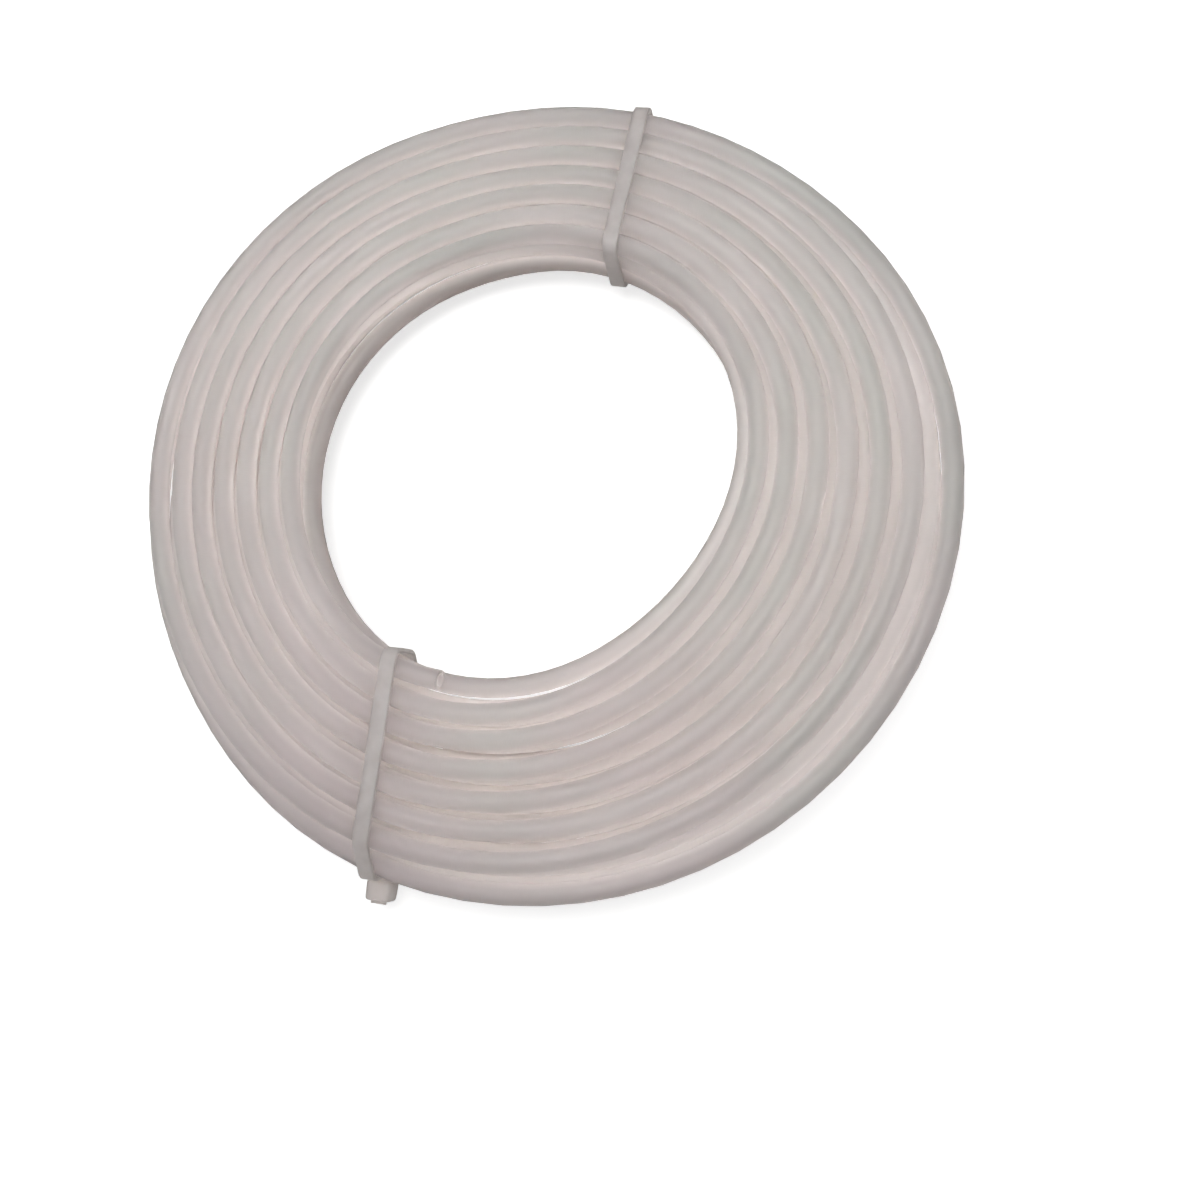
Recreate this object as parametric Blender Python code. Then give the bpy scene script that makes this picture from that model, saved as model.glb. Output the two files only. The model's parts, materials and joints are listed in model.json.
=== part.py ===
"""A coil of small-bore vacuum hose, wound in layers, laid flat and bound with two cable ties.

Metres, +Z up. The origin is on the ground, under the middle of the coil's length and breadth.
"""
import functools
import math

import bmesh
import bpy
import numpy as np
from mathutils import Vector

# Hose
HOSE_OUTSIDE = 0.0060
HOSE_BORE = 0.0040
FLAT_DEPTH = HOSE_OUTSIDE / 10  # a resting hose is pressed flat this deep where it meets the ground

# Winding: a track is one hose's place across the bundle, counted from the inside of the ring
RING_RADIUS = 0.0980            # to the middle of the bundle
MIDDLE_TRACK = 3.5
TURN_GAP = 0.00060              # air between neighbouring turns, where they lie closest
LAYER_GAP = 0.00055             # air between one layer and the next
SPREAD = 0.197                  # extra room between turns, midway between the ties
TIGHT_SIDE = math.radians(14)   # the bundle is narrowest here and on the far side of the ring
LOOSE = 0.210                   # more room yet, where the bundle lies loosest
LOOSE_SIDE = math.radians(-108)
OVAL = 0.0012                   # how far the ring is pulled into an oval
OVAL_SIDE = math.radians(116)
CORNER = 0.0011                 # and into a rounded triangle
CORNER_SIDE = math.radians(-23)
LAYER_TRACKS = (                # first and last track of each layer, from the bottom up
    (2.5, 5.0),
    (6.75, 0.25),
    (0.0, 7.0),
    (6.5, 0.0),
)
CLIMB_TURNS = 0.5               # the spiral turns back over half a turn, while the hose climbs
LAST_ANGLE = math.radians(215.2)  # where the upper end of the hose lies
POINTS_PER_TURN = 18
POINT_ANGLE = math.radians(207.4)  # the route's points lie in line with this one, beside the ties
FINE_STEPS = 6
END_STRAIGHT = HOSE_OUTSIDE     # each end runs straight for one diameter

# Cable ties
TIES = {                        # angle round the ring, and turn of the tie out of the radial plane
    "by_hose_end": (math.radians(208.5), math.radians(15)),
    "opposite": (math.radians(26.3), math.radians(11)),
}
STRAP_WIDTH = 0.0048
STRAP_THICK = 0.0012
SEAT_GAP = 0.0003               # between pieces that touch
STRAP_GROUND_GAP = 0.0005
LIFT_SPAN = math.radians(40)    # the tied bundle is drawn up off the ground this far each way
BEND_STEP = math.radians(15)    # between points of a bend
LEAST_RUN = 0.0004              # and least length between two of them
TAIL_BEND = 0.0012              # radius at which the strap turns into the head
TAIL_OUT = 0.0008               # the trimmed tail stands this far out of the head
TOOTH_PITCH = 0.0010
TOOTH_DEPTH = 0.00035
HEAD_WIDTH = 0.0082
HEAD_HEIGHT = 0.0060
HEAD_LEVEL = 0.0095             # the slot's middle, over the ground
HEAD_STAND_OFF = STRAP_THICK / 2
SLOT_GAP = 0.0003
SLOT_WALL = 0.0014
HEAD_ROUNDING = 0.0006
ROOT_SINK = 0.0010              # the strap's root goes this deep into the head
ROOT_INSET = 0.0002             # and leaves it this far outside the head's inner face

# Pawls
PAWL_WIDTH = 0.0036
PAWL_THICK = 0.0010
POCKET_DEPTH = 0.0022
POCKET_WALL = 0.0009
FLOOR_WALL = 0.0012
PAWL_TEETH = 2
PAWL_TOOTH_SHIFT = 0.0002

HOSE_COLOUR = (0.62, 0.59, 0.57, 1.0)
TIE_COLOUR = (0.70, 0.67, 0.63, 1.0)
CUTTER_MARGIN = 0.002
SHARP_EDGE = math.radians(65)   # edges that turn less than this are shaded smooth

HOSE_PITCH = HOSE_OUTSIDE + TURN_GAP
LAYER_PITCH = HOSE_OUTSIDE + LAYER_GAP
BOTTOM_LEVEL = HOSE_OUTSIDE / 2 - FLAT_DEPTH
TIE_LIFT = STRAP_GROUND_GAP + STRAP_THICK + SEAT_GAP + HOSE_OUTSIDE / 2 - BOTTOM_LEVEL
LAYER_TURNS = tuple(abs(last - first) for first, last in LAYER_TRACKS)
TOTAL_TURNS = sum(LAYER_TURNS) + CLIMB_TURNS * (len(LAYER_TRACKS) - 1)
FIRST_ANGLE = LAST_ANGLE - 2 * math.pi * TOTAL_TURNS


def clear_scene():
    for thing in list(bpy.data.objects):
        bpy.data.objects.remove(thing)


def material(name, colour, roughness):
    finish = bpy.data.materials.new(name)
    finish.use_nodes = True
    shader = finish.node_tree.nodes["Principled BSDF"]
    shader.inputs["Base Color"].default_value = colour
    shader.inputs["Roughness"].default_value = roughness
    shader.inputs["Metallic"].default_value = 0.0
    finish.diffuse_color = colour
    return finish


def add_object(name, mesh, finish):
    piece = bpy.data.objects.new(name, mesh)
    bpy.context.collection.objects.link(piece)
    mesh.materials.clear()
    mesh.materials.append(finish)
    mesh.shade_smooth()
    mesh.set_sharp_from_angle(angle=SHARP_EDGE)
    return piece


def add_cutter(name, mesh):
    cutter = bpy.data.objects.new(name, mesh)
    bpy.context.collection.objects.link(cutter)
    cutter.hide_render = True
    cutter.display_type = "WIRE"
    return cutter


def boolean(piece, other, operation):
    change = piece.modifiers.new(other.name, "BOOLEAN")
    change.operation = operation
    change.solver = "EXACT"
    change.object = other


# The hose's route

def climb_outside(turn, last, following, way):
    """The hose steps round the outside of the turn that comes to lie over it.

    Gives its track and its height in layers. The way is 1 where the lower layer winds outwards.
    """
    above = following - way * (1 - CLIMB_TURNS + turn)
    side_at_start = way * (last - following) + 1 - CLIMB_TURNS
    share = math.sqrt(1 - math.cos(math.pi / 2 * turn / CLIMB_TURNS) ** 4)
    side = side_at_start + (1 - side_at_start) * share
    rise = 1 - math.sqrt(max(0.0, 1 - max(0.0, side) ** 2))
    return above + way * side, rise


def climb_over(turn, last, following, way):
    """The hose rides over the turn before it, to start the next layer further in."""
    below = last - way * (1 - turn)
    side_at_end = way * (following - last) + 1 - CLIMB_TURNS
    share = (1 - math.cos(math.pi * (turn / CLIMB_TURNS) ** 2)) / 2
    side = 1 + (side_at_end - 1) * share
    rise = math.sqrt(max(0.0, 1 - max(0.0, side) ** 2))
    return below + way * side, rise


def track_and_layer(turn):
    last_layer = len(LAYER_TRACKS) - 1
    for layer, (first, last) in enumerate(LAYER_TRACKS):
        way = 1 if last > first else -1
        if turn <= LAYER_TURNS[layer] or layer == last_layer:
            return first + way * turn, layer
        turn -= LAYER_TURNS[layer]
        if turn < CLIMB_TURNS:
            following = LAYER_TRACKS[layer + 1][0]
            climb = climb_outside if way * (following - last) > 0 else climb_over
            track, rise = climb(turn, last, following, way)
            return track, layer + rise
        turn -= CLIMB_TURNS


def ring_radius(angle):
    oval = OVAL * math.cos(2 * (angle - OVAL_SIDE))
    return RING_RADIUS + oval + CORNER * math.cos(3 * (angle - CORNER_SIDE))


def pitch_at(angle):
    loose = LOOSE * (1 + math.cos(angle - LOOSE_SIDE)) / 2
    return HOSE_PITCH * (1 + SPREAD * math.sin(angle - TIGHT_SIDE) ** 2 + loose)


def lift_at(angle):
    """How far the bundle is drawn up off the ground by the nearest tie."""
    lift = 0.0
    for tie_angle, _ in TIES.values():
        away = abs((angle - tie_angle + math.pi) % (2 * math.pi) - math.pi)
        if away < LIFT_SPAN:
            lift = max(lift, TIE_LIFT * math.cos(math.pi / 2 * away / LIFT_SPAN) ** 2)
    return lift


def ring_point(angle, aside=0.0, height=0.0):
    radius = ring_radius(angle) + aside
    return Vector((radius * math.cos(angle), radius * math.sin(angle), height))


def hose_point(turn):
    track, layer = track_and_layer(turn)
    angle = FIRST_ANGLE + 2 * math.pi * turn
    height = BOTTOM_LEVEL + layer * LAYER_PITCH + lift_at(angle)
    return ring_point(angle, (track - MIDDLE_TRACK) * pitch_at(angle), height)


def point_turns(points_per_turn):
    """The turns at which the route has a point: the same places round the ring in every turn."""
    step = 1 / points_per_turn
    first = (POINT_ANGLE - FIRST_ANGLE) / (2 * math.pi) % step
    return [first + step * index for index in range(math.ceil((TOTAL_TURNS - first) / step))]


@functools.cache
def ring_middle():
    """Where the ring's own middle lies from the origin."""
    points = [hose_point(turn) for turn in point_turns(POINTS_PER_TURN)]
    middle = [(min(values) + max(values)) / 2 for values in zip(*points)]
    return Vector((-middle[0], -middle[1], 0))


def hose_route(points_per_turn):
    """Points along the hose's middle, with a straight run at each end."""
    turns = point_turns(points_per_turn)
    step = 1 / points_per_turn
    first = turns[0]
    route = [hose_point(turn) for turn in turns]
    start = (hose_point(first - step) - route[0]).normalized()
    end = (hose_point(turns[-1] + step) - route[-1]).normalized()
    head = (hose_point(0.0) - route[0]).length
    tail = (hose_point(TOTAL_TURNS) - route[-1]).length
    ends = route[0] + start * max(head, END_STRAIGHT), route[-1] + end * max(tail, END_STRAIGHT)
    return [point + ring_middle() for point in (ends[0], *route, ends[1])]


def route_length(route):
    return sum((b - a).length for a, b in zip(route, route[1:]))


def least_gap(route):
    """Least air between the hose and itself, from its route's points to its other turns' runs."""
    points = np.array(route)
    starts = points[:-1]
    runs = points[1:] - starts
    lengths = (runs ** 2).sum(axis=1)
    nearest = math.inf
    for index, point in enumerate(points):
        share = np.clip(((point - starts) * runs).sum(axis=1) / lengths, 0, 1)
        distance = np.linalg.norm(starts + share[:, None] * runs - point, axis=1)
        near = max(0, index - POINTS_PER_TURN // 2)
        distance[near:index + POINTS_PER_TURN // 2] = math.inf
        nearest = min(nearest, distance.min())
    return nearest - HOSE_OUTSIDE


# The hose's solid

def tube_mesh(name, route, diameter, resolution, tilt):
    curve = bpy.data.curves.new(name, "CURVE")
    curve.dimensions = "3D"
    curve.twist_mode = "Z_UP"
    curve.bevel_depth = diameter / 2
    curve.bevel_resolution = resolution
    curve.use_fill_caps = True
    spline = curve.splines.new("POLY")
    spline.points.add(len(route) - 1)
    for point, place in zip(spline.points, route):
        point.co = (*place, 1.0)
        point.tilt = tilt
    holder = bpy.data.objects.new(name, curve)
    bpy.context.collection.objects.link(holder)
    bpy.context.view_layer.update()
    mesh = bpy.data.meshes.new_from_object(holder)
    bpy.data.objects.remove(holder)
    bpy.data.curves.remove(curve)
    return mesh


def bore_route(route):
    """The hose's route, run on past both cut ends."""
    start = route[0] + (route[0] - route[1]).normalized() * CUTTER_MARGIN
    end = route[-1] + (route[-1] - route[-2]).normalized() * CUTTER_MARGIN
    return [start] + route[1:-1] + [end]


def ground_mesh():
    reach = 2 * RING_RADIUS
    shape = bmesh.new()
    bmesh.ops.create_cube(shape, size=1.0)
    bmesh.ops.scale(shape, vec=(2 * reach, 2 * reach, CUTTER_MARGIN), verts=shape.verts)
    bmesh.ops.translate(shape, vec=(0, 0, -CUTTER_MARGIN / 2), verts=shape.verts)
    return mesh_of("ground", shape)


def make_hose(finish):
    route = hose_route(POINTS_PER_TURN)
    print("hose length %.3f m, turns %.1f" % (route_length(route), TOTAL_TURNS))
    print("least gap between turns %.2f mm" % (least_gap(route) * 1000))
    hose = add_object("hose", tube_mesh("hose", route, HOSE_OUTSIDE, 1, math.pi / 6), finish)
    bore = tube_mesh("bore", bore_route(route), HOSE_BORE, 0, math.pi / 4)
    boolean(hose, add_cutter("bore_cutter", bore), "DIFFERENCE")
    boolean(hose, add_cutter("ground_cutter", ground_mesh()), "DIFFERENCE")


# Shapes drawn in a tie's own plane: across the bundle, and up

def mesh_of(name, shape):
    bmesh.ops.recalc_face_normals(shape, faces=shape.faces)
    mesh = bpy.data.meshes.new(name)
    shape.to_mesh(mesh)
    shape.free()
    return mesh


class TiePlane:
    """The upright plane that a tie lies in, with its origin under the middle of the bundle."""

    def __init__(self, angle, turn):
        self.angle = angle
        self.turn = turn
        direction = angle + turn
        self.across = Vector((math.cos(direction), math.sin(direction), 0))
        self.along = Vector((-math.sin(direction), math.cos(direction), 0))
        self.origin = ring_point(angle) + ring_middle()

    def place(self, across, up, along=0.0):
        return self.origin + self.across * across + Vector((0, 0, up)) + self.along * along

    def slab(self, name, outline, width, anchor=Vector()):
        """A closed outline in the plane, as a slab of the given width, measured from the anchor."""
        shape = bmesh.new()
        corners = [shape.verts.new(self.place(x, z, -width / 2) - anchor) for x, z in outline]
        face = shape.faces.new(corners)
        pulled = bmesh.ops.extrude_face_region(shape, geom=[face])["geom"]
        moved = [part for part in pulled if isinstance(part, bmesh.types.BMVert)]
        bmesh.ops.translate(shape, vec=self.along * width, verts=moved)
        return mesh_of(name, shape)

    def block(self, name, low, high, width, rounding=0.0):
        outline = [(low[0], low[1]), (high[0], low[1]), (high[0], high[1]), (low[0], high[1])]
        mesh = self.slab(name, outline, width)
        if rounding:
            shape = bmesh.new()
            shape.from_mesh(mesh)
            bmesh.ops.bevel(shape, geom=list(shape.edges), offset=rounding, segments=2,
                            profile=0.5, affect="EDGES", material=-1)
            shape.to_mesh(mesh)
            shape.free()
        return mesh


def crossings(plane):
    """Where the hose's middle passes through the strap's two edges and middle.

    It is asked of the hose as faceted here and of the same hose in finer steps.
    """
    found = []
    for route in (hose_route(POINTS_PER_TURN), hose_route(FINE_STEPS * POINTS_PER_TURN)):
        spots = [((p - plane.origin).dot(plane.along), (p - plane.origin).dot(plane.across), p.z) for p in route]
        for edge in (-STRAP_WIDTH / 2, 0, STRAP_WIDTH / 2):
            for (a, across, up), (b, next_across, next_up) in zip(spots, spots[1:]):
                if (a - edge) * (b - edge) <= 0 and a != b and abs(across) < RING_RADIUS:
                    share = (edge - a) / (b - a)
                    found.append((across + (next_across - across) * share, up + (next_up - up) * share))
    return found


def cross(a, b, c):
    return (b[0] - a[0]) * (c[1] - a[1]) - (b[1] - a[1]) * (c[0] - a[0])


def hull(points):
    """The points on the outside, anticlockwise."""
    halves = []
    ordered = sorted(set(points))
    for run in (ordered, ordered[::-1]):
        half = []
        for point in run:
            while len(half) > 1 and cross(half[-2], half[-1], point) <= 0:
                half.pop()
            half.append(point)
        halves += half[:-1]
    return halves


def rounded_hull(points, radius):
    """A closed line that goes round the points at a distance, anticlockwise."""
    corners = hull(points)
    line = []
    for before, corner, after in zip(corners[-1:] + corners[:-1], corners, corners[1:] + corners[:1]):
        start = math.atan2(corner[1] - before[1], corner[0] - before[0]) - math.pi / 2
        stop = math.atan2(after[1] - corner[1], after[0] - corner[0]) - math.pi / 2
        line += arc(corner, radius, start, (stop - start) % (2 * math.pi))
    return spaced(line + line[:1])[:-1]


def arc(centre, radius, start, sweep):
    steps = math.ceil(abs(sweep) / BEND_STEP)
    angles = [start + sweep * step / steps for step in range(steps + 1)]
    return [(centre[0] + radius * math.cos(a), centre[1] + radius * math.sin(a)) for a in angles]


def spaced(line):
    """The line without the points that crowd the one before them."""
    kept = line[:1]
    for point in line[1:]:
        if math.dist(kept[-1], point) >= LEAST_RUN:
            kept.append(point)
    return kept


def strap_line(plane):
    """The middle line of the strap, from its root in the head, round the bundle, to its tail.

    Also gives how far across the bundle the head's inner face lies.
    """
    loop = rounded_hull(crossings(plane), HOSE_OUTSIDE / 2 + SEAT_GAP + STRAP_THICK / 2)[::-1]
    outermost = max(x for x, z in loop)
    head_face = outermost + STRAP_THICK / 2 + HEAD_STAND_OFF
    root = (head_face + ROOT_INSET + STRAP_THICK / 2, head_floor() - STRAP_THICK / 2)
    leave = max(loop, key=lambda spot: math.atan2(root[1] - spot[1], root[0] - spot[0]))
    loop = loop[loop.index(leave):] + loop[:loop.index(leave)]
    bend_centre = (outermost + TAIL_BEND, HEAD_LEVEL + TAIL_BEND)
    above = [spot for spot in loop if spot[1] > bend_centre[1]]
    arrive = min(above, key=lambda spot: math.atan2(outermost - spot[0], spot[1] - bend_centre[1]))
    bend = arc(bend_centre, TAIL_BEND, math.pi, math.pi / 2)
    tail = (head_face + HEAD_HEIGHT + TAIL_OUT, HEAD_LEVEL)
    inside_head = (root[0], head_floor() + ROOT_SINK)
    return [inside_head, root, *loop[:loop.index(arrive) + 1], *bend, tail], head_face


def head_floor():
    """Height of the head's lower face over the ground."""
    return HEAD_LEVEL - STRAP_THICK / 2 - SLOT_GAP - POCKET_DEPTH - FLOOR_WALL


def offset_line(line, distance):
    """The line moved sideways, to the left where the distance is positive."""
    moved = []
    for index, (x, z) in enumerate(line):
        before = line[max(0, index - 1)]
        after = line[min(len(line) - 1, index + 1)]
        into = Vector((x - before[0], z - before[1]))
        out = Vector((after[0] - x, after[1] - z))
        into = (into if into.length else out).normalized()
        out = (out if out.length else into).normalized()
        normal = Vector((-(into.y + out.y), into.x + out.x)).normalized()
        reach = distance / max(0.5, normal.dot(Vector((-out.y, out.x))))
        moved.append((x + normal.x * reach, z + normal.y * reach))
    return moved


def tooth_line(start, stop, level):
    """A rack of teeth cut up into a level line: steep on the side that faces the bundle."""
    count = int((stop - start) / TOOTH_PITCH)
    line = []
    for tooth in range(count):
        x = start + tooth * TOOTH_PITCH
        line += [(x, level), (x + TOOTH_PITCH, level + TOOTH_DEPTH)]
    return line


def tooth_start(head_face):
    return head_face + POCKET_WALL


def strap_outline(line, head_face):
    outer = offset_line(line, STRAP_THICK / 2)
    inner = offset_line(line, -STRAP_THICK / 2)
    level = HEAD_LEVEL - STRAP_THICK / 2
    teeth = tooth_line(tooth_start(head_face), line[-1][0] - TOOTH_PITCH / 2, level)
    teeth.append((teeth[-1][0], level))
    return outer + [inner[-1]] + teeth[::-1] + inner[-2::-1]


def make_tie(label, plane, line, head_face, finish):
    name = "cable_tie_" + label
    head_top = HEAD_LEVEL + STRAP_THICK / 2 + SLOT_GAP + SLOT_WALL
    slot_half = STRAP_THICK / 2 + SLOT_GAP
    far_face = head_face + HEAD_HEIGHT
    head_mesh = plane.block(name, (head_face, head_floor()), (far_face, head_top), HEAD_WIDTH, HEAD_ROUNDING)
    slot = plane.block("slot", (head_face - CUTTER_MARGIN, HEAD_LEVEL - slot_half),
                       (far_face + CUTTER_MARGIN, HEAD_LEVEL + slot_half), STRAP_WIDTH + 2 * SLOT_GAP)
    pocket = plane.block("pocket", (head_face + POCKET_WALL, HEAD_LEVEL - slot_half - POCKET_DEPTH),
                         (far_face + CUTTER_MARGIN, HEAD_LEVEL), PAWL_WIDTH + 2 * SLOT_GAP)
    strap = plane.slab("strap", strap_outline(line, head_face), STRAP_WIDTH)
    tie = add_object(name, head_mesh, finish)
    boolean(tie, add_cutter(name + "_slot", slot), "DIFFERENCE")
    boolean(tie, add_cutter(name + "_pocket", pocket), "DIFFERENCE")
    boolean(tie, add_cutter(name + "_strap", strap), "UNION")


def pawl_outline(head_face):
    """The pawl lies along the tail's underside, its root by the inner wall of the pocket."""
    root = head_face + POCKET_WALL + SLOT_GAP
    free = head_face + HEAD_HEIGHT - SLOT_GAP
    top = HEAD_LEVEL - STRAP_THICK / 2 - SEAT_GAP
    first_tooth = tooth_start(head_face) + (PAWL_TEETH - 1) * TOOTH_PITCH - PAWL_TOOTH_SHIFT
    teeth = []
    for tooth in range(PAWL_TEETH):
        x = first_tooth + tooth * TOOTH_PITCH
        teeth += [(x, top), (x + TOOTH_PITCH, top + TOOTH_DEPTH)]
    teeth.append((teeth[-1][0], top))
    return [(root, top), (root, top - PAWL_THICK), (free, top - PAWL_THICK), (free, top)] + teeth[::-1]


def make_pawl(label, plane, head_face, finish):
    name = "tie_pawl_" + label
    root = head_face + POCKET_WALL + SLOT_GAP
    level = HEAD_LEVEL - STRAP_THICK / 2 - SEAT_GAP - PAWL_THICK / 2
    axis = plane.place(root + PAWL_THICK / 2, level)
    pawl = add_object(name, plane.slab(name, pawl_outline(head_face), PAWL_WIDTH, axis), finish)
    pawl.location = axis
    print("%s hinge at (%.5f, %.5f, %.5f)" % (name, *axis), "axis (%.5f, %.5f, 0)" % plane.along[:2])


def build():
    clear_scene()
    make_hose(material("hose_plastic", HOSE_COLOUR, 0.30))
    tie_plastic = material("tie_plastic", TIE_COLOUR, 0.35)
    for label, (angle, turn) in TIES.items():
        plane = TiePlane(angle, turn)
        line, head_face = strap_line(plane)
        make_tie(label, plane, line, head_face, tie_plastic)
        make_pawl(label, plane, head_face, tie_plastic)


build()
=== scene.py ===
import bisect
import json
import math
import bmesh
import bpy
from mathutils import Matrix, Vector


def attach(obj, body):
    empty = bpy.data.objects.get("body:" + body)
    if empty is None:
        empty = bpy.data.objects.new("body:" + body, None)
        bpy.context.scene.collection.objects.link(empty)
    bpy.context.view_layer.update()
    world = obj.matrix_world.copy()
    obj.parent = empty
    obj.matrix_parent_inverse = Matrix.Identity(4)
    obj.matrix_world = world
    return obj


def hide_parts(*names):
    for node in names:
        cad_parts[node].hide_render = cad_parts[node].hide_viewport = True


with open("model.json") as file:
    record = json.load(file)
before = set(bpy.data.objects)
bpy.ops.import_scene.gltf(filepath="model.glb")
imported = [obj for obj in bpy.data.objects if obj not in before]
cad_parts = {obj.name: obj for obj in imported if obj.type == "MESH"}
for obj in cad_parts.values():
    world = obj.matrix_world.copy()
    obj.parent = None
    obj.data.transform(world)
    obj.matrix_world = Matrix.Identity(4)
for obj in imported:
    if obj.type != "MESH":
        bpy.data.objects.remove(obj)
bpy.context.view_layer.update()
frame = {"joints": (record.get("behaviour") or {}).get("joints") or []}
print("frame loaded")


# Camera

# the photograph's frame is photoSize pixels each way, seen with a focal length of focalPixels
cameraView = {
    "photoSize": 1200,
    "focalPixels": 950,
    "place": (0.0, -0.1327, 0.2847),   # from the middle of the ring
    "aim": (-0.0069, -0.0466, 0.0),
    "roll": -45.7,
    "nearest": 0.01,
}


def addCamera(view, ringMiddle):
    data = bpy.data.cameras.new("camera")
    camera = bpy.data.objects.new("camera", data)
    bpy.context.scene.collection.objects.link(camera)
    data.lens = data.sensor_width * view["focalPixels"] / view["photoSize"]
    data.clip_start = view["nearest"]
    place = Vector(view["place"])
    towards = Vector(view["aim"]) - place
    turned = towards.to_track_quat("-Z", "Y").to_matrix().to_4x4()
    rolled = Matrix.Rotation(math.radians(view["roll"]), 4, "Z")
    camera.matrix_world = Matrix.Translation(place + ringMiddle) @ turned @ rolled
    bpy.context.scene.camera = camera


# The hose: one tube wound in layers. A track is its place across the bundle, counted from inside.

hoseShape = {
    "outside": 0.0060,
    "bore": 0.0040,
    "pressedFlat": 0.0006,      # where it rests on the ground
    "ringRadius": 0.0980,
    "middleTrack": 3.5,         # the track that lies at the ring's radius
    "turnGap": 0.00060,
    "layerGap": 0.00055,
    "spread": 0.197,            # more room between turns, midway between the ties
    "tightSide": math.radians(14),
    "loose": 0.210,             # and some more on one side
    "looseSide": math.radians(-108),
    "oval": 0.0012,             # the ring is a little oval
    "ovalSide": math.radians(116),
    "corner": 0.0011,           # and a little three-cornered
    "cornerSide": math.radians(-23),
    # each layer's first and last track, from the bottom
    "layerTracks": ((2.5, 5.0), (6.75, 0.25), (0.0, 7.0), (6.5, 0.0)),
    "climbTurns": 0.5,
    "lastAngle": math.radians(215.2),
    "pointAngle": math.radians(207.4),   # where the frame's own hose has a point
    "framePoints": 18,          # and how many it has in each turn
    "tieLift": 0.0026,          # the ties draw the bundle up off the ground
    "liftSpan": math.radians(40),
    "tieAngles": (math.radians(208.5), math.radians(26.3)),
    "points": 72,               # rings in each turn
    "sides": 20,
    "wander": 0.2,              # how far a turn strays, as a share of the air beside it
    "strayWaves": (1.31, 0.57),  # waves in each turn
    "strayStart": 0.6,
    "sharpEdge": math.radians(50),
}
hosePitch = hoseShape["outside"] + hoseShape["turnGap"]
layerPitch = hoseShape["outside"] + hoseShape["layerGap"]
bottomLevel = hoseShape["outside"] / 2 - hoseShape["pressedFlat"]
layerTurns = [abs(last - first) for first, last in hoseShape["layerTracks"]]
totalTurns = sum(layerTurns) + hoseShape["climbTurns"] * (len(layerTurns) - 1)
firstAngle = hoseShape["lastAngle"] - 2 * math.pi * totalTurns


def climbOutside(turn, last, following, way):
    # the hose climbs from below itself, as it lies one turn later, to beside itself
    share = math.sqrt(1 - math.cos(math.pi / 2 * turn / hoseShape["climbTurns"]) ** 4)
    sideAtStart = way * (last - following) + 1 - hoseShape["climbTurns"]
    side = sideAtStart + (1 - sideAtStart) * share
    above = following - way * (1 - hoseShape["climbTurns"] + turn)
    return above + way * side, 1 - math.sqrt(max(0.0, 1 - max(0.0, side) ** 2))


def climbOver(turn, last, following, way):
    # the hose climbs from beside itself, as it lies one turn earlier, to above itself
    share = (1 - math.cos(math.pi * (turn / hoseShape["climbTurns"]) ** 2)) / 2
    sideAtEnd = way * (following - last) + 1 - hoseShape["climbTurns"]
    side = 1 + (sideAtEnd - 1) * share
    below = last - way * (1 - turn)
    return below + way * side, math.sqrt(max(0.0, 1 - max(0.0, side) ** 2))


def trackAndLayer(turn):
    tracks = hoseShape["layerTracks"]
    for layer, (first, last) in enumerate(tracks):
        way = 1 if last > first else -1
        if turn <= layerTurns[layer] or layer == len(tracks) - 1:
            return first + way * turn, layer
        turn -= layerTurns[layer]
        if turn < hoseShape["climbTurns"]:
            following = tracks[layer + 1][0]
            climb = climbOutside if way * (following - last) > 0 else climbOver
            track, rise = climb(turn, last, following, way)
            return track, layer + rise
        turn -= hoseShape["climbTurns"]


def pitchAt(angle):
    across = hoseShape["spread"] * math.sin(angle - hoseShape["tightSide"]) ** 2
    loose = hoseShape["loose"] * (1 + math.cos(angle - hoseShape["looseSide"])) / 2
    return hosePitch * (1 + across + loose)


def liftAt(angle):
    lift = 0.0
    for tieAngle in hoseShape["tieAngles"]:
        away = abs((angle - tieAngle + math.pi) % (2 * math.pi) - math.pi)
        if away < hoseShape["liftSpan"]:
            lift = max(lift, math.cos(math.pi / 2 * away / hoseShape["liftSpan"]) ** 2)
    return lift * hoseShape["tieLift"]


def ringRadiusAt(angle):
    oval = hoseShape["oval"] * math.cos(2 * (angle - hoseShape["ovalSide"]))
    corner = hoseShape["corner"] * math.cos(3 * (angle - hoseShape["cornerSide"]))
    return hoseShape["ringRadius"] + oval + corner


def hosePoint(turn, wander=0.0):
    track, layer = trackAndLayer(turn)
    angle = firstAngle + 2 * math.pi * turn
    pitch = pitchAt(angle)
    radius = ringRadiusAt(angle) + (track - hoseShape["middleTrack"]) * pitch
    quick, slow = hoseShape["strayWaves"]
    stray = math.sin(2 * math.pi * quick * turn + hoseShape["strayStart"])
    stray += math.sin(2 * math.pi * slow * turn)
    radius += wander * (pitch - hoseShape["outside"]) * stray / 2
    height = bottomLevel + layer * layerPitch + liftAt(angle)
    return Vector((radius * math.cos(angle), radius * math.sin(angle), height))


def findRingMiddle():
    # the frame's hose has its points on this grid, and its box stands round the origin
    step = 1 / hoseShape["framePoints"]
    first = (hoseShape["pointAngle"] - firstAngle) / (2 * math.pi) % step
    count = math.ceil((totalTurns - first) / step)
    grid = [hosePoint(first + step * index) for index in range(count)]
    middle = [(min(values) + max(values)) / 2 for values in zip(*grid)]
    return Vector((-middle[0], -middle[1], 0))


ringMiddle = findRingMiddle()
addCamera(cameraView, ringMiddle)
print("camera placed")


def hoseRoute():
    count = round(totalTurns * hoseShape["points"])
    turns = [totalTurns * index / count for index in range(count + 1)]
    return [hosePoint(turn, hoseShape["wander"]) + ringMiddle for turn in turns]


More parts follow.
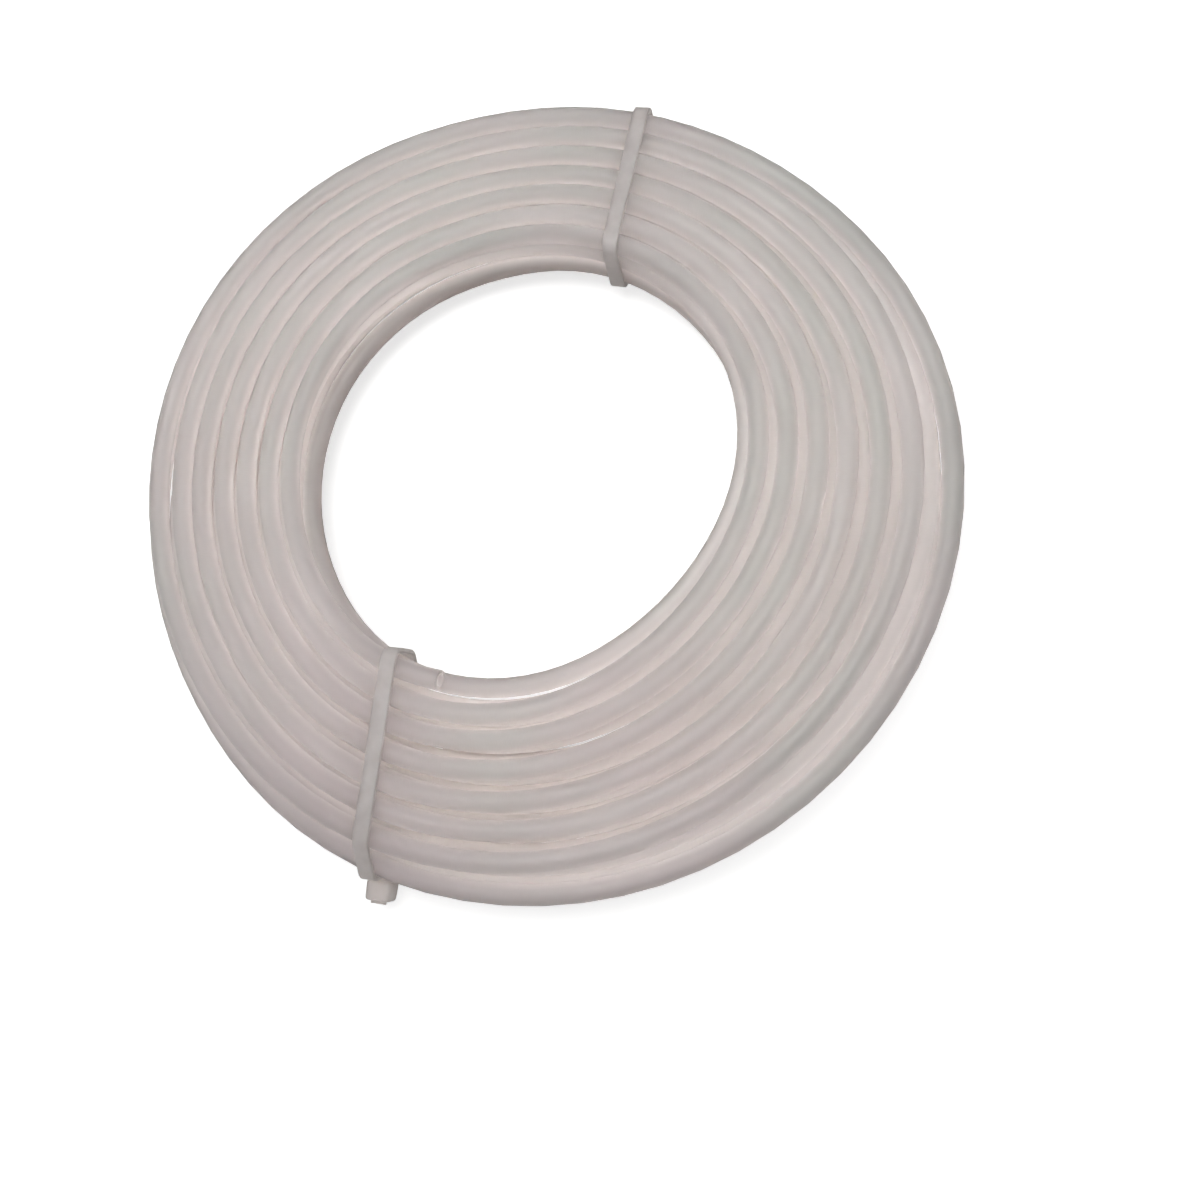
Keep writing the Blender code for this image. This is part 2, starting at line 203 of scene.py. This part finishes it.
def linkObject(name, mesh, finish):
    piece = bpy.data.objects.new(name, mesh)
    bpy.context.scene.collection.objects.link(piece)
    mesh.materials.clear()
    mesh.materials.append(finish)
    return piece


def applyModifiers(piece):
    bpy.context.view_layer.update()
    graph = bpy.context.evaluated_depsgraph_get()
    mesh = bpy.data.meshes.new_from_object(piece.evaluated_get(graph))
    piece.modifiers.clear()
    piece.data = mesh
    return mesh


def sweepTube(name, route, radius, sides):
    curve = bpy.data.curves.new(name, "CURVE")
    curve.dimensions = "3D"
    curve.twist_mode = "Z_UP"
    curve.bevel_depth = radius
    curve.bevel_resolution = sides // 2 - 2   # a resolution of n gives 2n + 4 sides
    spline = curve.splines.new("POLY")
    spline.points.add(len(route) - 1)
    for point, place in zip(spline.points, route):
        point.co = (*place, 1.0)
    holder = bpy.data.objects.new(name, curve)
    bpy.context.scene.collection.objects.link(holder)
    bpy.context.view_layer.update()
    mesh = bpy.data.meshes.new_from_object(holder)
    bpy.data.objects.remove(holder)
    return mesh


def lengthsAlong(points):
    lengths = [0.0]
    for before, after in zip(points, points[1:]):
        lengths.append(lengths[-1] + (after - before).length)
    return lengths


def tracksFromMiddle(place):
    offset = place - ringMiddle
    angle = math.atan2(offset.y, offset.x)
    return abs(math.hypot(offset.x, offset.y) - ringRadiusAt(angle)) / pitchAt(angle)


def storeOnPoints(mesh, name, values):
    mesh.attributes.new(name, "FLOAT", "POINT").data.foreach_set("value", values)


def markHose(mesh, route, lengths):
    # what the finish reads at each point of the tube
    sides = len(mesh.vertices) // len(route)
    radius = hoseShape["outside"] / 2
    numbered = list(enumerate(mesh.vertices))
    storeOnPoints(mesh, "along", [lengths[index // sides] for index, vertex in numbered])
    # 1 on the hose's crest, 0 on its flanks, -1 underneath
    storeOnPoints(mesh, "crest", [(vertex.co.z - route[index // sides].z) / radius
                                  for index, vertex in numbered])
    # how far it lies from the bundle's middle, in tracks
    storeOnPoints(mesh, "beside", [tracksFromMiddle(vertex.co) for vertex in mesh.vertices])


def makeHose(finish):
    route = hoseRoute()
    lengths = lengthsAlong(route)
    mesh = sweepTube("hoseTube", route, hoseShape["outside"] / 2, hoseShape["sides"])
    for vertex in mesh.vertices:
        vertex.co.z = max(vertex.co.z, 0.0)
    hose = linkObject("hoseTube", mesh, finish)
    markHose(mesh, route, lengths)
    wall = hose.modifiers.new("wall", "SOLIDIFY")
    wall.thickness = (hoseShape["outside"] - hoseShape["bore"]) / 2
    wall.offset = -1.0   # inwards
    applyModifiers(hose)
    hose.data.shade_smooth()
    hose.data.set_sharp_from_angle(angle=hoseShape["sharpEdge"])
    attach(hose, "coil")
    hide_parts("hose")
    return route


# Shader maths: a signal is a socket, and an expression on signals adds its nodes

class Signal:
    def __init__(self, finish, socket):
        self.finish = finish
        self.socket = socket

    def join(self, operation, first, second):
        return self.finish.add("ShaderNodeMath", {"operation": operation}, {0: first, 1: second})

    def __add__(self, other):
        return self.join("ADD", self, other)

    __radd__ = __add__

    def __sub__(self, other):
        return self.join("SUBTRACT", self, other)

    def __rsub__(self, other):
        return self.join("SUBTRACT", other, self)

    def __mul__(self, other):
        return self.join("MULTIPLY", self, other)

    __rmul__ = __mul__

    def __truediv__(self, other):
        return self.join("DIVIDE", self, other)

    def __rtruediv__(self, other):
        return self.join("DIVIDE", other, self)


class Finish:
    # the nodes of a material or of the world
    def __init__(self, holder):
        holder.use_nodes = True
        self.holder = holder
        self.nodes = holder.node_tree.nodes
        self.links = holder.node_tree.links

    def feed(self, node, values):
        for name, value in values.items():
            if isinstance(value, Signal):
                self.links.new(value.socket, node.inputs[name])
            else:
                node.inputs[name].default_value = value

    def add(self, kind, settings=None, values=None, output=0):
        node = self.nodes.new(kind)
        for name, setting in (settings or {}).items():
            setattr(node, name, setting)
        self.feed(node, values or {})
        return Signal(self, node.outputs[output])

    def noise(self, scale, values, settings=None):
        return self.add("ShaderNodeTexNoise", settings, {"Scale": scale, **values})

    def attribute(self, name):
        return self.add("ShaderNodeAttribute", {"attribute_name": name}, output="Fac")

    def blend(self, share, first, second):
        values = {"Factor": share, "A": first, "B": second}
        return self.add("ShaderNodeMix", {"data_type": "RGBA"}, values, 2)   # 2 is the colour

    def clamp(self, value):
        return self.add("ShaderNodeClamp", values={"Value": value})


hoseFinish = {
    "rosy": (0.432, 0.386, 0.386, 1),
    "cool": (0.402, 0.400, 0.382, 1),
    "pale": (0.475, 0.445, 0.438, 1),
    "patchSize": 13.0,          # patches in each metre
    "patchStart": 0.35,
    "patchSharp": 3.3,
    "toneSize": 7.0,            # changes of tone in each metre of hose
    "toneStart": 0.4,
    "toneSharp": 2.0,
    "paintedFlankLight": (0.505, 0.467, 0.458, 1),   # painted light: the flanks, where turns lie side by side, are painted lighter to lift their shade
    "paintedFlankLightTop": 0.2,
    "paintedFlankLightSharp": 1.5,
    "deep": (0.740, 0.690, 0.674, 1),    # painted light: turns under the top layer are painted lighter still, to lift their shade
    "deepLevel": 0.0140,
    "paintedDeepLightClearLevel": 0.0215,
    "paintedLowShade": (0.270, 0.228, 0.208, 1),   # painted shade: the bundle's outer and inner sides are painted browner and darker lower down
    "paintedLowShadeFullLevel": 0.003,
    "paintedLowShadeClearLevel": 0.020,
    "sideTrack": 3.3,
    "sideSharp": 2.5,
    "roughness": 0.42,
    "lightSpread": 0.06,
    "lightTint": (1.0, 0.93, 0.88),
    "seeThrough": 0.18,
    "bending": 1.5,
}


def milkyHose():
    look = hoseFinish
    finish = Finish(bpy.data.materials.new("milkyHose"))
    place = finish.add("ShaderNodeTexCoord", output="Object")
    level = finish.add("ShaderNodeSeparateXYZ", values={"Vector": place}, output="Z")
    patches = finish.noise(look["patchSize"], {"Vector": place})
    tones = finish.noise(look["toneSize"], {"W": finish.attribute("along")}, {"noise_dimensions": "1D"})
    patched = finish.blend((patches - look["patchStart"]) * look["patchSharp"], look["rosy"], look["cool"])
    toned = finish.blend((tones - look["toneStart"]) * look["toneSharp"], patched, look["pale"])
    # painted light: a lighter colour on each turn's flanks and underside, away from its crest
    crest = (finish.attribute("crest") - look["paintedFlankLightTop"]) * look["paintedFlankLightSharp"]
    withPaintedFlankLight = finish.blend(crest, look["paintedFlankLight"], toned)
    # painted light: a lighter colour on the turns below the top layer, except at the bundle's sides
    paintedDeepLightMask = (level - look["deepLevel"]) / (look["paintedDeepLightClearLevel"] - look["deepLevel"])
    withPaintedDeepLight = finish.blend(paintedDeepLightMask, look["deep"], withPaintedFlankLight)
    side = finish.clamp((finish.attribute("beside") - look["sideTrack"]) * look["sideSharp"])
    # painted shade: a darker brown colour low on the bundle's inner and outer sides
    paintedLowShadeMask = finish.clamp((look["paintedLowShadeClearLevel"] - level) / (look["paintedLowShadeClearLevel"] - look["paintedLowShadeFullLevel"]))
    paintedDeepLightInside = finish.blend(side, withPaintedDeepLight, withPaintedFlankLight)
    shader = finish.nodes["Principled BSDF"]
    shader.subsurface_method = "BURLEY"
    finish.feed(shader, {
        "Base Color": finish.blend(side * paintedLowShadeMask, paintedDeepLightInside, look["paintedLowShade"]),
        "Roughness": look["roughness"],
        "Subsurface Weight": 1.0,
        "Subsurface Scale": look["lightSpread"],
        "Subsurface Radius": look["lightTint"],
        "Transmission Weight": look["seeThrough"],
        "IOR": look["bending"],
    })
    return finish.holder


hosePath = makeHose(milkyHose())


# Cable ties: a strap with a rack of teeth on its inner face, and a head that its pawl sits in

tieShape = {
    "strapWidth": 0.0048,
    "strapThick": 0.0012,
    "strapRounding": 0.00032,
    "seatGap": 0.0003,          # between the strap and the hose
    "bendStep": math.radians(6),
    "tailBend": 0.0012,
    "rootBend": 0.0011,
    "tailOut": 0.0008,          # how far the trimmed tail stands out of the head
    "toothPitch": 0.0010,
    "toothDepth": 0.00035,
    "toothSteps": (0.02, 0.35, 0.68, 0.98),   # shares of a pitch, which are also shares of the depth
    "rackWidth": 0.0038,
    "rackSlope": 0.00008,
    "rackStart": 0.0060,        # the strap is plain where it bends out of the head
    "headWidth": 0.0082,
    "headDepth": 0.0060,
    "headLevel": 0.0095,        # the slot's middle, over the ground
    "slotGap": 0.0003,
    "slotWall": 0.0014,
    "mouth": 0.0005,            # bevel at the slot's mouth
    "slotRounding": 0.0002,
    "headRounding": 0.0011,
    "headSegments": 4,
    "headTaper": 0.95,
    "rootSink": 0.0010,         # how far the strap's root reaches up into the head
    "rootInset": 0.0002,
    "pawlWidth": 0.0036,
    "pawlThick": 0.0010,
    "pawlTeeth": 2,
    "pawlToothShift": 0.0002,
    "pawlEdge": 0.00006,
    "pawlEdgeSegments": 2,
    "pocketDepth": 0.0022,
    "pocketWall": 0.0009,
    "floorWall": 0.0012,
    "cutMargin": 0.002,
    "sameSpot": 0.0000002,
    "sharpEdge": math.radians(40),
}


class TiePlane:
    # the upright plane of a tie, with its origin under the pawl's hinge
    def __init__(self, joint):
        self.origin = Vector((joint["pos_m"][0], joint["pos_m"][1], 0.0))
        self.along = Vector(joint["axis"]).normalized()
        self.across = self.along.cross(Vector((0, 0, 1)))
        self.headFace = -tieShape["pawlThick"] / 2 - tieShape["slotGap"] - tieShape["pocketWall"]
        self.farFace = self.headFace + tieShape["headDepth"]
        self.slotFloor = tieShape["headLevel"] - tieShape["strapThick"] / 2 - tieShape["slotGap"]
        self.headFloor = self.slotFloor - tieShape["pocketDepth"] - tieShape["floorWall"]
        slotTop = tieShape["headLevel"] + tieShape["strapThick"] / 2 + tieShape["slotGap"]
        self.headTop = slotTop + tieShape["slotWall"]

    def place(self, across, up, along=0.0):
        return self.origin + self.across * across + Vector((0, 0, up)) + self.along * along

    def matrix(self):
        # from across, along and up to the room
        turned = Matrix((self.across, -self.along, Vector((0, 0, 1)))).transposed().to_4x4()
        return Matrix.Translation(self.origin) @ turned


def findCrossings(plane, route):
    # where the hose's middle passes through the strap's two edges and middle, on this side of the ring
    spots = []
    for point in route:
        offset = point - plane.origin
        spots.append((offset.dot(plane.along), offset.dot(plane.across), point.z))
    found = []
    for edge in (-tieShape["strapWidth"] / 2, 0, tieShape["strapWidth"] / 2):
        for (a, across, up), (b, nextAcross, nextUp) in zip(spots, spots[1:]):
            if (a - edge) * (b - edge) <= 0 and a != b and abs(across) < hoseShape["ringRadius"]:
                share = (edge - a) / (b - a)
                found.append((across + (nextAcross - across) * share, up + (nextUp - up) * share))
    return found


def turnsLeft(a, b, c):
    return (b[0] - a[0]) * (c[1] - a[1]) - (b[1] - a[1]) * (c[0] - a[0])


def wrapPoints(points):
    # the points on the outside, anticlockwise
    wrapped = []
    ordered = sorted(set(points))
    for run in (ordered, ordered[::-1]):
        half = []
        for point in run:
            while len(half) > 1 and turnsLeft(half[-2], half[-1], point) <= 0:
                half.pop()
            half.append(point)
        wrapped += half[:-1]
    return wrapped


def drawArc(centre, radius, start, sweep):
    steps = max(1, math.ceil(abs(sweep) / tieShape["bendStep"]))
    angles = [start + sweep * step / steps for step in range(steps + 1)]
    return [(centre[0] + radius * math.cos(angle), centre[1] + radius * math.sin(angle))
            for angle in angles]


def wrapRound(points, radius):
    corners = wrapPoints(points)
    line = []
    for before, corner, after in zip(corners[-1:] + corners[:-1], corners, corners[1:] + corners[:1]):
        start = math.atan2(corner[1] - before[1], corner[0] - before[0]) - math.pi / 2
        stop = math.atan2(after[1] - corner[1], after[0] - corner[0]) - math.pi / 2
        line += drawArc(corner, radius, start, (stop - start) % (2 * math.pi))
    return line


def roundCorner(before, corner, after, radius):
    # an arc in place of the corner, from one leg to the other
    first = Vector((before[0] - corner[0], before[1] - corner[1])).normalized()
    second = Vector((after[0] - corner[0], after[1] - corner[1])).normalized()
    half = first.angle(second) / 2
    middle = Vector(corner) + (first + second).normalized() * (radius / math.sin(half))
    reach = radius / math.tan(half)
    start = Vector(corner) + first * reach - middle
    stop = Vector(corner) + second * reach - middle
    sweep = math.atan2(start.x * stop.y - start.y * stop.x, start.dot(stop))
    return drawArc(middle, radius, math.atan2(start.y, start.x), sweep)


def drawStrap(plane, route):
    # the strap's middle line: root in the head, round the bundle, tail through the head's slot
    thick = tieShape["strapThick"]
    seat = hoseShape["outside"] / 2 + tieShape["seatGap"] + thick / 2
    loop = wrapRound(findCrossings(plane, route), seat)[::-1]
    # the strap leaves the loop and comes back to the head where a straight run just touches it
    outermost = plane.headFace - thick
    root = (plane.headFace + tieShape["rootInset"] + thick / 2, plane.headFloor - thick / 2)
    leave = max(loop, key=lambda spot: math.atan2(root[1] - spot[1], root[0] - spot[0]))
    start = loop.index(leave)
    loop = loop[start:] + loop[:start]
    bendCentre = (outermost + tieShape["tailBend"], tieShape["headLevel"] + tieShape["tailBend"])
    above = [spot for spot in loop if spot[1] > bendCentre[1]]
    arrive = min(above, key=lambda spot: math.atan2(outermost - spot[0], spot[1] - bendCentre[1]))
    bend = drawArc(bendCentre, tieShape["tailBend"], math.pi, math.pi / 2)
    tail = (plane.farFace + tieShape["tailOut"], tieShape["headLevel"])
    inside = (root[0], plane.headFloor + tieShape["rootSink"])
    foot = roundCorner(inside, root, loop[0], tieShape["rootBend"])
    return [inside, *foot, *loop[:loop.index(arrive) + 1], *bend, tail]


def placeStations(line, plane):
    # along the strap, four for each tooth of its rack: place, way out of the bundle, depth of the tooth
    points = [Vector(spot) for spot in line]
    lengths = lengthsAlong(points)
    pitch = tieShape["toothPitch"]
    inStep = lengths[-1] - (points[-1].x - plane.headFace - tieShape["pocketWall"])
    spots = [(0.0, 0.0)]
    for tooth in range(int(lengths[-1] / pitch) + 2):
        for step in tieShape["toothSteps"]:
            spot = inStep % pitch + (tooth - 1 + step) * pitch
            depth = step * tieShape["toothDepth"] if spot > tieShape["rackStart"] else 0.0
            if 0 < spot < lengths[-1]:
                spots.append((spot, depth))
    spots.append((lengths[-1], 0.0))
    middles = []
    for spot, depth in spots:
        leg = min(bisect.bisect_right(lengths, spot), len(points) - 1) - 1
        share = (spot - lengths[leg]) / (lengths[leg + 1] - lengths[leg])
        middles.append(points[leg].lerp(points[leg + 1], share))
    stations = []
    for index, (middle, (spot, depth)) in enumerate(zip(middles, spots)):
        way = middles[min(index + 1, len(middles) - 1)] - middles[max(index - 1, 0)]
        stations.append((middle, Vector((-way.y, way.x)).normalized(), depth))
    return stations


def roundedCorners(low, high, rounding, corners=(0, 1, 2, 3)):
    # a rectangle's corners, anticlockwise from the upper right, each as a short arc
    middles = ((high[0] - rounding, high[1] - rounding), (low[0] + rounding, high[1] - rounding),
               (low[0] + rounding, low[1] + rounding), (high[0] - rounding, low[1] + rounding))
    return [(middles[corner][0] + rounding * math.cos(math.pi / 2 * corner + turn),
             middles[corner][1] + rounding * math.sin(math.pi / 2 * corner + turn))
            for corner in corners for turn in (0, math.pi / 6, math.pi / 3, math.pi / 2)]


def strapSection(depth):
    # the rack's teeth are cut into the inner face, between two plain edges
    half = tieShape["strapWidth"] / 2
    thick = tieShape["strapThick"] / 2
    rack = tieShape["rackWidth"] / 2
    slope = tieShape["rackSlope"]
    low, high, rounding = (-half, -thick), (half, thick), tieShape["strapRounding"]
    recess = [(-rack, -thick), (slope - rack, depth - thick), (rack - slope, depth - thick), (rack, -thick)]
    around = roundedCorners(low, high, rounding, (0, 1, 2))
    return around + recess + roundedCorners(low, high, rounding, (3,))


def sweepSections(name, sections):
    # one closed body through sections that have the same number of corners
    shape = bmesh.new()
    ring = [shape.verts.new(spot) for spot in sections[0]]
    face = shape.faces.new(ring)
    for index, section in enumerate(sections[1:]):
        pulled = bmesh.ops.extrude_face_region(shape, geom=[face])["geom"]
        if index:
            bmesh.ops.delete(shape, geom=[face], context="FACES_ONLY")
        face = next(part for part in pulled if isinstance(part, bmesh.types.BMFace))
        ends = list(face.verts)
        ring = [min(ends, key=lambda end: (end.co - corner.co).length) for corner in ring]
        for corner, spot in zip(ring, section):
            corner.co = spot
    return finishShape(name, shape)


def finishShape(name, shape):
    bmesh.ops.recalc_face_normals(shape, faces=shape.faces)
    mesh = bpy.data.meshes.new(name)
    shape.to_mesh(mesh)
    shape.free()
    return mesh


def makeStrap(plane, route):
    sections = []
    for middle, out, depth in placeStations(drawStrap(plane, route), plane):
        sections.append([plane.place(middle.x + out.x * rise, middle.y + out.y * rise, wide)
                         for wide, rise in strapSection(depth)])
    return sweepSections("strap", sections)


def makeHead(plane):
    # a rounded block that narrows a little towards its far face
    shape = bmesh.new()
    bmesh.ops.create_cube(shape, size=1.0)
    height = plane.headTop - plane.headFloor
    bmesh.ops.scale(shape, vec=(tieShape["headDepth"], tieShape["headWidth"], height), verts=shape.verts)
    far = [corner for corner in shape.verts if corner.co.x > 0]
    bmesh.ops.scale(shape, vec=(1, tieShape["headTaper"], tieShape["headTaper"]), verts=far)
    middle = ((plane.headFace + plane.farFace) / 2, 0, (plane.headFloor + plane.headTop) / 2)
    bmesh.ops.translate(shape, vec=middle, verts=shape.verts)
    bmesh.ops.bevel(shape, geom=list(shape.edges), offset=tieShape["headRounding"],
                    segments=tieShape["headSegments"], profile=0.5, affect="EDGES", material=-1)
    bmesh.ops.transform(shape, matrix=plane.matrix(), verts=shape.verts)
    return finishShape("head", shape)


def cutOpening(plane, stops, halfWidth, low, high):
    # a way through the head: at each stop across it, how much wider it is than at its narrowest
    sections = []
    for across, flare in stops:
        corners = roundedCorners((-halfWidth - flare, low - flare), (halfWidth + flare, high + flare),
                                 tieShape["slotRounding"])
        sections.append([plane.place(across, up, wide) for wide, up in corners])
    return sweepSections("opening", sections)


def cutSlot(plane):
    mouth = tieShape["mouth"]
    stops = ((plane.headFace - tieShape["cutMargin"], mouth), (plane.headFace, mouth),
             (plane.headFace + mouth, 0.0), (plane.farFace - mouth, 0.0),
             (plane.farFace, mouth), (plane.farFace + tieShape["cutMargin"], mouth))
    return cutOpening(plane, stops, tieShape["strapWidth"] / 2 + tieShape["slotGap"],
                      plane.slotFloor, plane.slotFloor + tieShape["strapThick"] + 2 * tieShape["slotGap"])


def cutPocket(plane):
    stops = ((plane.headFace + tieShape["pocketWall"], 0.0), (plane.farFace + tieShape["cutMargin"], 0.0))
    return cutOpening(plane, stops, tieShape["pawlWidth"] / 2 + tieShape["slotGap"],
                      plane.slotFloor - tieShape["pocketDepth"], tieShape["headLevel"])


def combine(piece, mesh, operation):
    other = bpy.data.objects.new("other", mesh)
    bpy.context.scene.collection.objects.link(other)
    change = piece.modifiers.new("combine", "BOOLEAN")
    change.solver = "EXACT"
    change.operation = operation
    change.object = other
    applyModifiers(piece)
    bpy.data.objects.remove(other)
    # a cut can leave two corners in one spot
    shape = bmesh.new()
    shape.from_mesh(piece.data)
    bmesh.ops.remove_doubles(shape, verts=shape.verts, dist=tieShape["sameSpot"])
    shape.to_mesh(piece.data)
    shape.free()


def makeTie(label, plane, route, finish):
    tie = linkObject("cableTie" + label, makeHead(plane), finish)
    combine(tie, cutSlot(plane), "DIFFERENCE")
    combine(tie, cutPocket(plane), "DIFFERENCE")
    combine(tie, makeStrap(plane, route), "UNION")
    tie.data.shade_smooth()
    tie.data.set_sharp_from_angle(angle=tieShape["sharpEdge"])
    return tie


def makePawl(label, plane, finish):
    # a tongue under the tail, with teeth that reach up into the strap's rack
    root = plane.headFace + tieShape["pocketWall"] + tieShape["slotGap"]
    free = plane.farFace - tieShape["slotGap"]
    top = plane.slotFloor
    thick = tieShape["pawlThick"]
    pitch = tieShape["toothPitch"]
    start = root - tieShape["slotGap"] + (tieShape["pawlTeeth"] - 1) * pitch - tieShape["pawlToothShift"]
    stop = start + tieShape["pawlTeeth"] * pitch
    outline = [(root, top), (root, top - thick), (free - thick / 2, top - thick),
               (free, top - thick / 2), (free, top), (stop, top)]
    for tooth in reversed(range(tieShape["pawlTeeth"])):
        outline.append((start + (tooth + 1) * pitch, top + tieShape["toothDepth"]))
        outline.append((start + tooth * pitch, top))
    half = tieShape["pawlWidth"] / 2
    sections = [[plane.place(across, up, wide) for across, up in outline] for wide in (-half, half)]
    pawl = linkObject("pawl" + label, sweepSections("pawl", sections), finish)
    edge = pawl.modifiers.new("edge", "BEVEL")
    edge.width = tieShape["pawlEdge"]
    edge.segments = tieShape["pawlEdgeSegments"]
    applyModifiers(pawl)
    pawl.data.shade_smooth()
    pawl.data.set_sharp_from_angle(angle=tieShape["sharpEdge"])
    return pawl


tieFinish = {
    "clear": (0.69, 0.625, 0.590, 1),
    "cloudy": (0.77, 0.708, 0.674, 1),
    "cloudSize": 160.0,         # clouds in each metre
    "cloudStart": 0.35,
    "cloudSharp": 3.0,
    "grainSize": 2600.0,
    "grainDepth": 0.00004,
    "grainStrength": 0.25,
    "roughness": 0.34,
    "cloudRoughness": 0.12,
    "lightSpread": 0.03,
    "pawlLightSpread": 0.0012,  # so small a piece turns dark under a wide spread
    "lightTint": (1.0, 0.93, 0.86),
    "seeThrough": 0.12,
    "bending": 1.53,
}


def naturalNylon(name, lightSpread):
    look = tieFinish
    finish = Finish(bpy.data.materials.new(name))
    place = finish.add("ShaderNodeTexCoord", output="Object")
    clouds = finish.noise(look["cloudSize"], {"Vector": place})
    grain = finish.noise(look["grainSize"], {"Vector": place})
    shader = finish.nodes["Principled BSDF"]
    shader.subsurface_method = "BURLEY"
    finish.feed(shader, {
        "Base Color": finish.blend((clouds - look["cloudStart"]) * look["cloudSharp"],
                                   look["clear"], look["cloudy"]),
        "Roughness": look["roughness"] + clouds * look["cloudRoughness"],
        "Normal": finish.add("ShaderNodeBump", values={
            "Height": grain, "Distance": look["grainDepth"], "Strength": look["grainStrength"]}),
        "Subsurface Weight": 1.0,
        "Subsurface Scale": lightSpread,
        "Subsurface Radius": look["lightTint"],
        "Transmission Weight": look["seeThrough"],
        "IOR": look["bending"],
    })
    return finish.holder


# for each pawl's joint: the tie's label, the tie's node, the pawl's node and the pawl's body
tieNodes = {
    "pawl_release_by_hose_end": ("ByHoseEnd", "cable_tie_by_hose_end",
                                 "tie_pawl_by_hose_end", "pawl_by_hose_end"),
    "pawl_release_opposite": ("Opposite", "cable_tie_opposite",
                              "tie_pawl_opposite", "pawl_opposite"),
}


def makeTies(route):
    tieNylon = naturalNylon("tieNylon", tieFinish["lightSpread"])
    pawlNylon = naturalNylon("pawlNylon", tieFinish["pawlLightSpread"])
    for joint in frame["joints"]:
        label, tieNode, pawlNode, pawlBody = tieNodes[joint["name"]]
        plane = TiePlane(joint)
        tie = makeTie(label, plane, route, tieNylon)
        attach(tie, "coil")
        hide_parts(tieNode)
        pawl = makePawl(label, plane, pawlNylon)
        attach(pawl, pawlBody)
        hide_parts(pawlNode)
        print("tie made:", label, len(tie.data.polygons), "faces")


makeTies(hosePath)


# Floor, room and lamps

stage = {
    "floorSize": 3.0,
    "floorColour": (0.70, 0.70, 0.70, 1),
    "floorGlow": (0.68, 0.68, 0.68, 1),
    "floorRoughness": 0.9,
    "worldColour": (1.0, 1.0, 1.0, 1),
    "worldLevel": 0.31,
}


def paleFloor():
    finish = Finish(bpy.data.materials.new("paleFloor"))
    surface = finish.nodes["Principled BSDF"]
    finish.feed(surface, {"Base Color": stage["floorColour"], "Roughness": stage["floorRoughness"]})
    seen = finish.add("ShaderNodeLightPath", output="Is Camera Ray")
    glow = finish.add("ShaderNodeEmission", values={"Color": stage["floorGlow"], "Strength": seen})
    both = finish.add("ShaderNodeAddShader", values={0: Signal(finish, surface.outputs[0]), 1: glow})
    finish.feed(finish.nodes["Material Output"], {"Surface": both})
    return finish.holder


def makeFloor():
    shape = bmesh.new()
    bmesh.ops.create_grid(shape, x_segments=1, y_segments=1, size=stage["floorSize"] / 2)
    linkObject("floor", finishShape("floor", shape), paleFloor())


def paleRoom():
    # white where it is seen, straight or in a gloss, and dimmer as a light
    room = Finish(bpy.data.worlds.new("paleRoom"))
    seen = (room.add("ShaderNodeLightPath", output="Is Camera Ray")
            + room.add("ShaderNodeLightPath", output="Is Glossy Ray")
            + room.add("ShaderNodeLightPath", output="Is Transmission Ray"))
    strength = seen * (1 - stage["worldLevel"]) + stage["worldLevel"]
    room.feed(room.nodes["Background"], {"Color": stage["worldColour"], "Strength": strength})
    return room.holder


lampColour = (1.0, 0.98, 0.96)
lamps = {
    "key": {"towards": (0.10, 0.05, 0.98), "far": 0.45, "size": 0.30, "watts": 1.25},
    "back": {"towards": (-0.3, 0.8, 0.6), "far": 1.4, "size": 1.2, "watts": 1.3},
}


def addLamp(name, lamp):
    data = bpy.data.lights.new(name, "AREA")
    data.shape = "DISK"
    data.size = lamp["size"]
    data.energy = lamp["watts"]
    data.color = lampColour
    holder = bpy.data.objects.new(name, data)
    bpy.context.scene.collection.objects.link(holder)
    towards = Vector(lamp["towards"]).normalized()
    turned = towards.to_track_quat("Z", "Y").to_matrix().to_4x4()
    holder.matrix_world = Matrix.Translation(towards * lamp["far"]) @ turned
    holder.visible_camera = False


makeFloor()
bpy.context.scene.world = paleRoom()
for lampName, lampSetting in lamps.items():
    addLamp(lampName, lampSetting)
bpy.context.scene.view_settings.view_transform = "Standard"
print("stage and lamps set")
